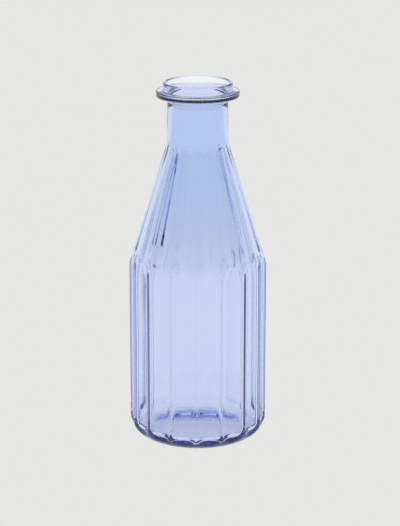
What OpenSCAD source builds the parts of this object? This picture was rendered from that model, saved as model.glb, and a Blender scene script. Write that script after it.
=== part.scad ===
// Fluted glass bud vase, one piece of moulded glass.
// Millimetres, +Z up, origin at the middle of the base on the surface it stands on.
// A ridge of the body points along -Y, which is the front.

/* [Overall] */
// Height of the vase from the table to the top of the lip
vase_h = 210; // [195:1:230]

/* [Body] */
// Radius of the body, measured over its ridges
body_r = 40; // [38:0.5:44]
// Number of flutes round the body, and of lobes round the shoulder
flute_count = 16; // [14:1:18]
// Depth of a body flute below the ridges on its two sides
flute_depth = 2.6; // [1.8:0.1:3]
// Height where the ridges of the body stop and the shoulder starts
shoulder_z = 103.5; // [95:0.5:112]

/* [Shoulder] */
// Radius lost for each millimetre of height
shoulder_taper = 0.314; // [0.3:0.002:0.33]

/* [Neck] */
// Outer radius where the neck leaves the shoulder
neck_r = 17.9; // [17:0.1:19]
// Outer radius of the neck just under its bead
neck_top_r = 17.3; // [17:0.1:18]
// Radius of the straight bore
bore_r = 15; // [14.4:0.1:15.4]

/* [Mouth] */
// Radius of the collar
collar_r = 23.9; // [22:0.1:26]
// Thickness of the collar
collar_t = 3.5; // [3.2:0.1:4.5]
// Outer radius of the lip above the collar
lip_r = 20; // [19.2:0.1:21.5]
// Height of the lip above the collar
lip_h = 4.8; // [4:0.1:6]
// Inner radius of the lip, above the funnel
mouth_r = 18; // [17.4:0.1:18.2]
// Depth of the funnel's top edge below the top of the collar
funnel_drop = 1.7; // [1:0.1:2]
// Height over which the mouth narrows to the bore
funnel_h = 3.3; // [2.6:0.1:4]

/* [Glass] */
// Wall behind the middle of a body flute
wall = 2; // [1.8:0.1:2.6]
// Glass under the cavity
base_t = 5; // [4:0.5:7]
// Radius of the ring that the vase rests on, at its outer edge
foot_r = 31; // [29:0.5:32]
// Height of the hollow under the base
punt_h = 1.8; // [1:0.1:2.5]

/* [Hidden] */
$fn = 96;
glass_blue = [0.72, 0.78, 0.93, 0.6];
eps = 0.01;

lobe_share = 0.5;     // cross radius of a lobe as a share of the radius of the shoulder
pitch = 360 / flute_count;
half_pitch = pitch / 2;
land = 0.15;          // how far the ridges would stand above body_r if they were knife sharp
body_top = 8;         // how far below shoulder_z the lobes take over
neck_sink = 12;       // how far the neck reaches down into the shoulder
lobe_start = 0.3;     // start of the lobes under their apex, as a share of the neck's own distance
lobe_end = 1.3;       // end of the lobes, as a share of the body's distance from the apex
bend_steps = 4;       // facets in each bend of the cavity
foot_w = 5;           // width of the resting ring
punt_r = foot_r - foot_w;
heel_h = 9;           // height of the rounded heel
heel_arc_r = 13;      // radius of the heel's arc
floor_arc_r = 6;      // radius inside, between the floor and the wall
lip_round = 0.45 * (lip_r - mouth_r);   // rounding of the lip, outside and inside
collar_round = 0.7;   // rounding of the collar's edges
bead_r = 1.6;         // cross radius of the bead under the collar
bead_proud = 0.35;    // how far the bead stands out of the neck
bend_r = 20;          // radius of the two bends of the cavity under the neck and over the body

// Flutes: round cutters that stand outside the body and meet at its ridges.
flute_bottom_r = body_r - flute_depth;
ridge_x = (body_r + land) * cos(half_pitch);
ridge_y = (body_r + land) * sin(half_pitch);
flute_sag = ridge_x - flute_bottom_r;
flute_r = (pow(ridge_y, 2) + pow(flute_sag, 2)) / (2 * flute_sag);

// Lobes: slanted cones with one shared apex, so that they narrow with the shoulder.
apex_z = shoulder_z + body_r / shoulder_taper;
slope_outer = atan(shoulder_taper);
slope_inner = atan(shoulder_taper * (1 - 2 * lobe_share));
lobe_tilt = (slope_outer + slope_inner) / 2;
lobe_half_angle = (slope_outer - slope_inner) / 2;

collar_top = vase_h - lip_h;
collar_bottom = collar_top - collar_t;
neck_root_z = apex_z - neck_r / shoulder_taper;
bead_z = collar_bottom - bead_r;
funnel_top_z = collar_top - funnel_drop;
funnel_foot_z = funnel_top_z - funnel_h;

// Cavity
cavity_r = flute_bottom_r - wall;
shoulder_wall = 1.2 * wall;   // measured level, through the middle of a lobe
cone_foot_z = apex_z - (cavity_r + shoulder_wall) / shoulder_taper;
cone_head_z = apex_z - (bore_r + shoulder_wall) / shoulder_taper;
bend_run = bend_r * tan(slope_outer / 2);

// Points on an arc about [cx, cz] from angle a0 to a1, both included.
function arc(cx, cz, r, a0, a1, steps = 10) =
    [for (i = [0:steps]) let (a = a0 + (a1 - a0) * i / steps) [cx + r * cos(a), cz + r * sin(a)]];

// A rectangle from [x0, z0] to [x1, z1] whose corners on the +X side are rounded.
module round_edged(x0, z0, x1, z1, r) {
    translate([x0, z0]) square([x1 - x0 - r, z1 - z0]);
    translate([x0, z0 + r]) square([x1 - x0, z1 - z0 - 2 * r]);
    for (z = [z0 + r, z1 - r]) translate([x1 - r, z]) circle(r);
}

// Half of the body's outline before fluting: a cylinder with a rounded heel.
module body_outline() {
    mid = [(foot_r + body_r) / 2, heel_h / 2];
    chord = norm([body_r - foot_r, heel_h]);
    reach = sqrt(pow(heel_arc_r, 2) - pow(chord / 2, 2));
    away = [-heel_h, body_r - foot_r] / chord;
    difference() {
        square([body_r, apex_z]);
        difference() {
            translate([foot_r, -eps]) square([body_r - foot_r + eps, heel_h + eps]);
            translate(mid + reach * away) circle(heel_arc_r);
        }
    }
}

// The fluted prism that both the body and the shoulder are cut from.
module fluted_prism() {
    difference() {
        rotate_extrude() body_outline();
        for (i = [0:flute_count - 1])
            rotate([0, 0, (i + 0.5) * pitch - 90])
                translate([flute_bottom_r + flute_r, 0, -1])
                    cylinder(r = flute_r, h = apex_z + 2);
    }
}

// The lobed cone of the shoulder, whose lobes stand over the ridges of the body.
module lobed_cone() {
    bottom = lobe_end * body_r / shoulder_taper;
    top = lobe_start * neck_r / shoulder_taper;
    for (i = [0:flute_count - 1])
        rotate([0, 0, i * pitch - 90])
            translate([0, 0, apex_z])
                rotate([0, 180 - lobe_tilt, 0])
                    translate([0, 0, top])
                        cylinder(r1 = top * tan(lobe_half_angle),
                                 r2 = bottom * tan(lobe_half_angle), h = bottom - top);
}

module outer_form() {
    intersection() {
        fluted_prism();
        union() {
            lobed_cone();
            cylinder(r = 2 * body_r, h = shoulder_z - body_top);
        }
    }
    rotate_extrude() mouth_outline();
}

// Half of the outline of the neck, its bead, the collar and the lip, down into the shoulder.
module mouth_outline() {
    polygon([[0, neck_root_z - neck_sink], [neck_r, neck_root_z - neck_sink], [neck_r, neck_root_z],
             [neck_top_r, bead_z], [neck_top_r, collar_bottom + eps], [0, collar_bottom + eps]]);
    translate([neck_top_r + bead_proud - bead_r, bead_z]) circle(bead_r);
    round_edged(0, collar_bottom, collar_r, collar_top, collar_round);
    difference() {
        round_edged(0, collar_bottom, lip_r, vase_h, lip_round);
        square([lip_r + eps, collar_top - eps]);
    }
}

// Half of the outline of the cavity: floor, wall, cone, bore and rounded mouth.
module cavity_outline() {
    polygon(concat(
        [[0, base_t]],
        arc(cavity_r - floor_arc_r, base_t + floor_arc_r, floor_arc_r, -90, 0),
        arc(cavity_r - bend_r, cone_foot_z - bend_run, bend_r, 0, slope_outer, bend_steps),
        arc(bore_r + bend_r, cone_head_z + bend_run, bend_r, 180 + slope_outer, 180, bend_steps),
        [[bore_r, funnel_foot_z], [mouth_r, funnel_top_z]],
        arc(mouth_r + lip_round, vase_h - lip_round, lip_round, 180, 90),
        [[mouth_r + lip_round, apex_z], [0, apex_z]]));
}

// The shallow hollow under the base, part of a large sphere.
module punt() {
    sphere_r = (pow(punt_r, 2) + pow(punt_h, 2)) / (2 * punt_h);
    translate([0, 0, punt_h - sphere_r]) sphere(sphere_r);
}

module glass_vase() {
    color(glass_blue)
        difference() {
            outer_form();
            rotate_extrude() cavity_outline();
            punt();
        }
}

glass_vase();
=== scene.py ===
import math

import bpy
import numpy as np
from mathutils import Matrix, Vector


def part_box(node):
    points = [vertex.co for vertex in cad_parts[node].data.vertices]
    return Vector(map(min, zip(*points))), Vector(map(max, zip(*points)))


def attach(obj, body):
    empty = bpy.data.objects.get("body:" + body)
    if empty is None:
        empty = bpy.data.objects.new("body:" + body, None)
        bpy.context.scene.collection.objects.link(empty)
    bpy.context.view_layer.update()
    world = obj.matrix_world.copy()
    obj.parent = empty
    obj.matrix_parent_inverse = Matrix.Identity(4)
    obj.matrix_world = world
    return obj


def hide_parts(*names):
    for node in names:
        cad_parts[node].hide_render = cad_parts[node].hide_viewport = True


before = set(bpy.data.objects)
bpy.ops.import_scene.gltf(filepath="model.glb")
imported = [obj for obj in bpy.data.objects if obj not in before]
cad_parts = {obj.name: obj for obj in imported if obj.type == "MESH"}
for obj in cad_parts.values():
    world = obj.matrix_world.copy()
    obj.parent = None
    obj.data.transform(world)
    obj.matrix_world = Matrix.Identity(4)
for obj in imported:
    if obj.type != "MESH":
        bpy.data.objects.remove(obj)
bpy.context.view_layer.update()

MM = 0.001

# ---------------------------------------------------------------- sizes of the vase
low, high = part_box("glass_vase")
HEIGHT = high[2] - low[2]
CLEARANCE = 0.05 * MM                    # keeps the glass inside the CAD box
BODY_R = (high[0] - low[0]) / 2 - CLEARANCE          # over the ridges

FLUTES = 16
PITCH = 2 * math.pi / FLUTES
FLUTE_DEPTH = 2.6 * MM
RIDGE_SOFT = 0.7 * MM                    # how far the ridges of the body are melted round
SHOULDER_Z = 103.5 * MM                  # where the ridges of the body stop
TAPER = 0.314                            # radius lost per metre of height, over the shoulder
LOBE_SHARE = 0.36                        # cross radius of a lobe, as a share of the shoulder's radius
CREASE_SOFT = 0.012                      # rounding of the creases, as a share of the same radius
EDGE_SOFT = 0.22 * MM                    # rounding of the zigzag between shoulder and body
ARCH_SOFT = 0.4 * MM                     # rounding where the lobes run into the neck

NECK_R = 17.9 * MM
NECK_TOP_R = 17.3 * MM
BORE_R = 15 * MM
COLLAR_R = 23.9 * MM
COLLAR_T = 3.5 * MM
LIP_R = 20 * MM
LIP_H = 4.8 * MM
MOUTH_R = 18 * MM                        # inside the lip, above the funnel
FUNNEL_TOP = 1.7 * MM                    # top of the funnel, below the collar's top face
FUNNEL_H = 3.3 * MM                      # height over which the mouth narrows to the bore
BEAD_R = 1.6 * MM
BEAD_PROUD = 0.35 * MM
NECK_FILLET = 0.3 * MM                   # roundings of the mouth's corners, from the neck up
COLLAR_ROUND_LOW = 0.9 * MM
COLLAR_ROUND_HIGH = 0.5 * MM
LIP_FILLET = 0.4 * MM
FUNNEL_ROUND = 0.6 * MM

WALL = 1.9 * MM                          # behind the middle of a flute
RIDGE_SOFT_INSIDE = 3.1 * MM             # inside, the relief is the outside's, melted softer
CREASE_SOFT_INSIDE = 0.10
SHOULDER_WALL = 2.3 * MM                 # measured level
BEND_SOFT = 2.2 * MM
BASE_T = 5 * MM
FOOT_R = 31 * MM
FOOT_W = 5 * MM
PUNT_H = 1.8 * MM
HEEL_H = 9 * MM
HEEL_ARC_R = 13 * MM
FLOOR_ARC_R = 6 * MM

APEX_Z = SHOULDER_Z + BODY_R / TAPER
COLLAR_TOP = HEIGHT - LIP_H
COLLAR_BOTTOM = COLLAR_TOP - COLLAR_T
BEAD_Z = COLLAR_BOTTOM - BEAD_R
NECK_ROOT_Z = APEX_Z - NECK_R / TAPER
BORE_HEAD_Z = COLLAR_BOTTOM - 3 * MM
BORE_FOOT_Z = APEX_Z - (BORE_R + SHOULDER_WALL - 3 * BEND_SOFT) / TAPER
ZIGZAG_Z = (98 * MM, 115 * MM)           # rows are close together here, where the shape turns fast
NECK_JOIN_Z = (163 * MM, 181 * MM)


# ---------------------------------------------------------------- shape functions
def soft_min(a, b, k):
    """The smaller of a and b, with the corner between them rounded over k."""
    h = np.clip(0.5 + 0.5 * (b - a) / k, 0, 1)
    return b * (1 - h) + a * h - k * h * (1 - h)


def soft_max(a, b, k):
    return -soft_min(-a, -b, k)


def flute(angle):
    """Radius of a body flute, at an angle from its own middle."""
    bottom = BODY_R - FLUTE_DEPTH
    half = PITCH / 2
    sag = BODY_R * math.cos(half) - bottom
    cut = ((BODY_R * math.sin(half)) ** 2 + sag**2) / (2 * sag)
    centre = bottom + cut
    inside = np.maximum(cut**2 - (centre * np.sin(angle)) ** 2, 0)
    reached = centre * np.cos(angle) - np.sqrt(inside)
    return np.where(inside > 0, reached, 2 * BODY_R)


def lobe(angle):
    """Radius of a shoulder lobe at an angle from its middle, as a share of the radius there."""
    off = 1 - LOBE_SHARE
    inside = np.maximum(LOBE_SHARE**2 - (off * np.sin(angle)) ** 2, 0)
    return np.where(inside > 0, off * np.cos(angle) + np.sqrt(inside), 0)


def from_ridge(theta):
    """Angle from the nearest ridge of the body, never negative."""
    turn = np.mod(theta / PITCH + 0.5, 1) - 0.5
    return np.abs(turn) * PITCH


def fluted(theta, soft):
    away = from_ridge(theta)
    return soft_min(flute(PITCH / 2 - away), flute(PITCH / 2 + away), soft)


def lobed(theta, z, soft):
    away = from_ridge(theta)
    share = soft_max(lobe(away), lobe(PITCH - away), soft)
    return share * TAPER * (APEX_Z - z)


def neck(z):
    grow = np.clip((BEAD_Z - z) / (BEAD_Z - NECK_ROOT_Z), 0, 1.5)
    return NECK_TOP_R + (NECK_R - NECK_TOP_R) * grow


def outer(theta, z):
    """Outer radius of the glass from the heel up to the neck."""
    glass = soft_min(fluted(theta, RIDGE_SOFT), lobed(theta, z, CREASE_SOFT), EDGE_SOFT)
    return soft_max(glass, neck(z), ARCH_SOFT)


def inner(theta, z):
    """Radius of the cavity from its floor up to the bore: the outside's relief, melted softer."""
    body = fluted(theta, RIDGE_SOFT_INSIDE) - WALL
    cone = lobed(theta, z, CREASE_SOFT_INSIDE) - SHOULDER_WALL
    return soft_max(soft_min(body, cone, BEND_SOFT), np.full(theta.shape, BORE_R), BEND_SOFT)


def arc(r0, z0, radius, start, end, steps):
    """Points (r, z) on an arc, angles in degrees from the +r direction."""
    a = np.radians(np.linspace(start, end, steps + 1))
    return [(r0 + radius * math.cos(t), z0 + radius * math.sin(t)) for t in a]


def rounded(corners, steps=7):
    """Points along an outline whose corners are (r, z, rounding), from the first to the last."""
    points = [corners[0][:2]]
    for before, corner, after in zip(corners, corners[1:], corners[2:]):
        here = np.array(corner[:2])
        back = np.array(before[:2]) - here
        ahead = np.array(after[:2]) - here
        back /= np.hypot(*back)
        ahead /= np.hypot(*ahead)
        half = math.acos(np.clip(back @ ahead, -1, 1)) / 2
        middle = (back + ahead) / np.hypot(*(back + ahead))
        centre = here + middle * corner[2] / math.sin(half)
        first = math.atan2(*(here + back * corner[2] / math.tan(half) - centre)[::-1])
        last = math.atan2(*(here + ahead * corner[2] / math.tan(half) - centre)[::-1])
        turn = (last - first + math.pi) % (2 * math.pi) - math.pi
        points += arc(*centre, corner[2], math.degrees(first), math.degrees(first + turn), steps)
    return points + [corners[-1][:2]]


# ---------------------------------------------------------------- the surface, as rows round the axis
def around(steps=18, crowding=0.72):
    """Angles round the vase, closer together near the ridges and the creases."""
    u = np.arange(FLUTES * steps) / steps
    return PITCH * (u - crowding / (4 * math.pi) * np.sin(4 * math.pi * u))


def heel_rows():
    mid = np.array([(FOOT_R + BODY_R) / 2, HEEL_H / 2])
    run = np.array([BODY_R - FOOT_R, HEEL_H])
    chord = np.hypot(*run)
    reach = math.sqrt(HEEL_ARC_R**2 - (chord / 2) ** 2)
    centre = mid + reach * np.array([-run[1], run[0]]) / chord
    first = math.degrees(math.atan2(-centre[1], FOOT_R - centre[0]))
    last = math.degrees(math.atan2(HEEL_H - centre[1], BODY_R - centre[0]))
    return arc(*centre, HEEL_ARC_R, first, last, 14)


def build_rows(theta):
    """Each row is (radius, height) arrays over theta, from under the base round to the cavity's floor."""
    rows = []

    def ring(r, z):
        rows.append((r + np.zeros(theta.shape), z + np.zeros(theta.shape)))

    punt_r = FOOT_R - FOOT_W
    sphere = (punt_r**2 + PUNT_H**2) / (2 * PUNT_H)
    for share in (0.12, 0.3, 0.5, 0.7, 0.85, 0.95):
        r = share * punt_r
        ring(r, PUNT_H - sphere + math.sqrt(sphere**2 - r**2))
    for r, z in ((-0.35, 0.06), (0.35, 0)):          # the punt's edge, slightly rounded
        ring(punt_r + r * MM, z * MM)
    ring(FOOT_R - 0.5 * MM, 0)
    flutes = fluted(theta, RIDGE_SOFT)
    for r, z in heel_rows():
        ring(soft_min(r, flutes, EDGE_SOFT), z)
    spans = ((HEEL_H, ZIGZAG_Z[0], 26), (*ZIGZAG_Z, 60),
             (ZIGZAG_Z[1], NECK_JOIN_Z[0], 18), (*NECK_JOIN_Z, 34))
    for bottom, top, count in spans:
        for z in np.linspace(bottom, top, count, endpoint=False)[1:]:
            ring(outer(theta, z), z)
    for z in np.linspace(NECK_JOIN_Z[1], BEAD_Z - BEAD_R, 6):
        ring(float(neck(z)), z)
    for r, z in mouth_profile():
        ring(r, z)
    for z in np.linspace(BORE_HEAD_Z, BORE_FOOT_Z, 5)[1:-1]:
        ring(BORE_R, z)
    floor_z = BASE_T + FLOOR_ARC_R
    cone_top, cone_bottom, body_top = 160 * MM, 122 * MM, 96 * MM
    for top, bottom, count in ((BORE_FOOT_Z, cone_top, 22), (cone_top, cone_bottom, 18),
                               (cone_bottom, body_top, 26), (body_top, floor_z, 16)):
        for z in np.linspace(top, bottom, count, endpoint=False):
            ring(inner(theta, z), z)
    wall = inner(theta, floor_z)
    for turn in np.radians(np.linspace(0, 90, 11)):
        ring(wall - FLOOR_ARC_R * (1 - math.cos(turn)), floor_z - FLOOR_ARC_R * math.sin(turn))
    for share in (0.85, 0.65, 0.45, 0.25, 0.1):
        ring(share * (wall - FLOOR_ARC_R), BASE_T)
    return rows


def mouth_profile():
    """Bead, collar, lip and funnel, from the top of the neck round into the bore."""
    bead = arc(NECK_TOP_R + BEAD_PROUD - BEAD_R, BEAD_Z, BEAD_R, -50, 45, 8)
    lip_round = 0.49 * (LIP_R - MOUTH_R)
    corners = [
        (*bead[-1], 0),
        (NECK_TOP_R + 0.1 * MM, COLLAR_BOTTOM, NECK_FILLET),
        (COLLAR_R, COLLAR_BOTTOM, COLLAR_ROUND_LOW),
        (COLLAR_R, COLLAR_TOP, COLLAR_ROUND_HIGH),
        (LIP_R, COLLAR_TOP, LIP_FILLET),
        (LIP_R, HEIGHT, lip_round),
        (MOUTH_R, HEIGHT, lip_round),
        (MOUTH_R, COLLAR_TOP - FUNNEL_TOP, FUNNEL_ROUND),
        (BORE_R, COLLAR_TOP - FUNNEL_TOP - FUNNEL_H, FUNNEL_ROUND),
        (BORE_R, BORE_HEAD_Z, 0),
    ]
    return bead[:-1] + rounded(corners)


def closed_mesh(name, rows, theta, first_centre, last_centre):
    """One closed mesh from the rows, with a fan of triangles at each end."""
    n = len(theta)
    points = [(0, 0, first_centre)]
    for r, z in rows:
        points += list(zip(r * np.sin(theta), -r * np.cos(theta), z))
    points.append((0, 0, last_centre))
    faces = [(0, 1 + (i + 1) % n, 1 + i) for i in range(n)]
    for row in range(len(rows) - 1):
        a, b = 1 + row * n, 1 + (row + 1) * n
        faces += [(a + i, a + (i + 1) % n, b + (i + 1) % n, b + i) for i in range(n)]
    last, a = len(points) - 1, 1 + (len(rows) - 1) * n
    faces += [(last, a + i, a + (i + 1) % n) for i in range(n)]
    mesh = bpy.data.meshes.new(name)
    mesh.from_pydata([tuple(float(c) for c in p) for p in points], [], faces)
    mesh.shade_smooth()
    mesh.validate()
    made = bpy.data.objects.new(name, mesh)
    bpy.context.scene.collection.objects.link(made)
    return made


# ---------------------------------------------------------------- materials
STAIN_PALE = (0.862, 0.884, 0.962, 1)
STAIN_DEEP = (0.735, 0.815, 0.956, 1)
STAIN_LIP = (0.98, 0.985, 0.995, 1)
# How deep the stain is at each share of the height, from 0 to 1
STAIN_FIRST, STAIN_LAST = (0.02, 0.1), (0.70, 0.8)
STAIN_BETWEEN = ((0.14, 0.15), (0.40, 0.10))
STAIN_CLOUD = 0.25                       # uneven stain, added on top


def grey(level):
    return (level, level, level, 1)


def node_material(name):
    material = bpy.data.materials.new(name)
    material.use_nodes = True
    nodes, links = material.node_tree.nodes, material.node_tree.links
    nodes.clear()
    return material, nodes, links


def glass_material():
    """Clear moulded glass with a thin blue stain, paler at the lip, and a faint ripple from the mould."""
    material, nodes, links = node_material("blue_glass")
    out = nodes.new("ShaderNodeOutputMaterial")
    surface = nodes.new("ShaderNodeBsdfPrincipled")
    surface.inputs["Transmission Weight"].default_value = 1
    surface.inputs["IOR"].default_value = 1.5
    surface.inputs["Roughness"].default_value = 0.0
    where = nodes.new("ShaderNodeTexCoord")
    split = nodes.new("ShaderNodeSeparateXYZ")
    fade = nodes.new("ShaderNodeMapRange")
    fade.inputs["From Min"].default_value = COLLAR_BOTTOM
    fade.inputs["From Max"].default_value = COLLAR_TOP
    share = nodes.new("ShaderNodeMath")
    share.operation = "DIVIDE"
    share.inputs[1].default_value = HEIGHT
    rise = nodes.new("ShaderNodeValToRGB")
    stops = rise.color_ramp.elements
    stops[0].position, stops[0].color = STAIN_FIRST[0], grey(STAIN_FIRST[1])
    stops[1].position, stops[1].color = STAIN_LAST[0], grey(STAIN_LAST[1])
    for place, level in STAIN_BETWEEN:
        stops.new(place).color = grey(level)
    blend = nodes.new("ShaderNodeMath")
    blend.operation = "MULTIPLY_ADD"
    blend.inputs[1].default_value = STAIN_CLOUD
    cloud = nodes.new("ShaderNodeTexNoise")
    cloud.inputs["Scale"].default_value = 28
    stain = nodes.new("ShaderNodeMix")
    stain.data_type = "RGBA"
    stain.inputs[6].default_value = STAIN_PALE
    stain.inputs[7].default_value = STAIN_DEEP
    lip = nodes.new("ShaderNodeMix")
    lip.data_type = "RGBA"
    lip.inputs[7].default_value = STAIN_LIP
    stretch = nodes.new("ShaderNodeMapping")
    stretch.inputs["Scale"].default_value = (1, 1, 0.07)
    ripple = nodes.new("ShaderNodeTexNoise")
    ripple.inputs["Scale"].default_value = 170
    ripple.inputs["Detail"].default_value = 2
    bump = nodes.new("ShaderNodeBump")
    bump.inputs["Strength"].default_value = 0.3
    bump.inputs["Distance"].default_value = 0.00012
    tint = nodes.new("ShaderNodeVolumeAbsorption")
    tint.inputs["Color"].default_value = (0.0, 0.22, 0.78, 1)
    tint.inputs["Density"].default_value = 40
    links.new(where.outputs["Object"], split.inputs[0])
    links.new(where.outputs["Object"], cloud.inputs["Vector"])
    links.new(where.outputs["Object"], stretch.inputs["Vector"])
    links.new(stretch.outputs[0], ripple.inputs["Vector"])
    links.new(split.outputs["Z"], fade.inputs["Value"])
    links.new(split.outputs["Z"], share.inputs[0])
    links.new(share.outputs[0], rise.inputs[0])
    links.new(cloud.outputs["Fac"], blend.inputs[0])
    links.new(rise.outputs[0], blend.inputs[2])
    links.new(blend.outputs[0], stain.inputs[0])
    links.new(stain.outputs[2], lip.inputs[6])
    links.new(fade.outputs["Result"], lip.inputs[0])
    links.new(lip.outputs[2], surface.inputs["Base Color"])
    links.new(ripple.outputs["Fac"], bump.inputs["Height"])
    links.new(bump.outputs[0], surface.inputs["Normal"])
    links.new(surface.outputs[0], out.inputs["Surface"])
    links.new(tint.outputs[0], out.inputs["Volume"])
    return material


def linear(srgb):
    return ((srgb + 0.055) / 1.055) ** 2.4


PALE = tuple(linear(c / 255) for c in (231, 231, 229))
BRIGHT = (0.98, 0.98, 0.98, 1)           # the table, as light through the glass meets it
BAND_DARK = (0.012, 0.016, 0.075, 1)     # the dark band low on the studio's walls
BAND_LOWER, BAND_UPPER = (0.06, 0.13), (0.40, 0.55)  # heights over which the band starts and ends
BAND_SHIFT = 0.19                        # how much higher the band stands behind the vase


def floor_material():
    """Pale to the camera, a little brighter to light that comes through the glass."""
    material, nodes, links = node_material("pale_floor")
    out = nodes.new("ShaderNodeOutputMaterial")
    seen = nodes.new("ShaderNodeEmission")
    seen.inputs["Color"].default_value = (*PALE, 1)
    table = nodes.new("ShaderNodeEmission")
    table.inputs["Color"].default_value = BRIGHT
    path = nodes.new("ShaderNodeLightPath")
    mix = nodes.new("ShaderNodeMixShader")
    links.new(path.outputs["Is Camera Ray"], mix.inputs[0])
    links.new(table.outputs[0], mix.inputs[1])
    links.new(seen.outputs[0], mix.inputs[2])
    links.new(mix.outputs[0], out.inputs["Surface"])
    return material


# ---------------------------------------------------------------- studio
def make_floor():
    """Large disc just under the base."""
    bpy.ops.mesh.primitive_circle_add(vertices=96, radius=30, fill_type="NGON", location=(0, 0, 0))
    floor = bpy.context.object
    floor.name = "studio_floor"
    floor.location.z = -0.0002
    floor.data.materials.append(floor_material())


def make_world():
    """Even backdrop for the camera; behind the glass, light walls with a dark band low down."""
    world = bpy.data.worlds.new("studio")
    bpy.context.scene.world = world
    world.use_nodes = True
    nodes, links = world.node_tree.nodes, world.node_tree.links
    nodes.clear()
    out = nodes.new("ShaderNodeOutputWorld")
    where = nodes.new("ShaderNodeTexCoord")
    split = nodes.new("ShaderNodeSeparateXYZ")
    ramp = nodes.new("ShaderNodeValToRGB")
    room = nodes.new("ShaderNodeBackground")
    backdrop = nodes.new("ShaderNodeBackground")
    backdrop.inputs["Color"].default_value = (*PALE, 1)
    path = nodes.new("ShaderNodeLightPath")
    mix = nodes.new("ShaderNodeMixShader")
    links.new(where.outputs["Generated"], split.inputs[0])
    stops = ramp.color_ramp.elements
    stops[0].position, stops[0].color = BAND_LOWER[0], BRIGHT
    stops[1].position, stops[1].color = BAND_LOWER[1], BAND_DARK
    stops.new(BAND_UPPER[0]).color = BAND_DARK
    stops.new(BAND_UPPER[1]).color = grey(1)
    behind = nodes.new("ShaderNodeMapRange")
    behind.inputs["From Min"].default_value = 0.2
    behind.inputs["From Max"].default_value = 0.6
    behind.inputs["To Max"].default_value = BAND_SHIFT
    height = nodes.new("ShaderNodeMath")
    height.operation = "SUBTRACT"
    links.new(split.outputs["Y"], behind.inputs["Value"])
    links.new(split.outputs["Z"], height.inputs[0])
    links.new(behind.outputs["Result"], height.inputs[1])
    links.new(height.outputs[0], ramp.inputs[0])
    links.new(ramp.outputs[0], room.inputs["Color"])
    links.new(path.outputs["Is Camera Ray"], mix.inputs[0])
    links.new(room.outputs[0], mix.inputs[1])
    links.new(backdrop.outputs[0], mix.inputs[2])
    links.new(mix.outputs[0], out.inputs["Surface"])


def make_camera():
    """Long lens, a little above the vase, turned slightly off a ridge."""
    distance, eye, turn, pitch = 1.121, 0.4235, math.radians(1.5), math.radians(15.95)
    data = bpy.data.cameras.new("camera")
    data.sensor_width = 36
    data.lens = 137.2
    data.shift_x = 0.0042
    data.clip_start, data.clip_end = 0.05, 100
    camera = bpy.data.objects.new("camera", data)
    bpy.context.scene.collection.objects.link(camera)
    camera.location = (distance * math.sin(turn), -distance * math.cos(turn), eye)
    camera.rotation_euler = (math.pi / 2 - pitch, 0, turn)
    bpy.context.scene.camera = camera


def make_overhead_light():
    data = bpy.data.lights.new("overhead_soft", "AREA")
    data.shape, data.size, data.energy = "SQUARE", 1.4, 8
    lamp = bpy.data.objects.new("overhead_soft", data)
    bpy.context.scene.collection.objects.link(lamp)
    lamp.location = (0, 0.2, 1.6)


# ---------------------------------------------------------------- the scene
make_camera()
theta = around()
vase = closed_mesh("vase_glass", build_rows(theta), theta, PUNT_H, BASE_T)
vase.data.materials.append(glass_material())
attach(vase, "root")
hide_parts("glass_vase")
make_floor()
make_world()
make_overhead_light()

scene = bpy.context.scene
scene.view_settings.view_transform = "Standard"
scene.cycles.max_bounces = 32
scene.cycles.transmission_bounces = 32
scene.cycles.glossy_bounces = 8
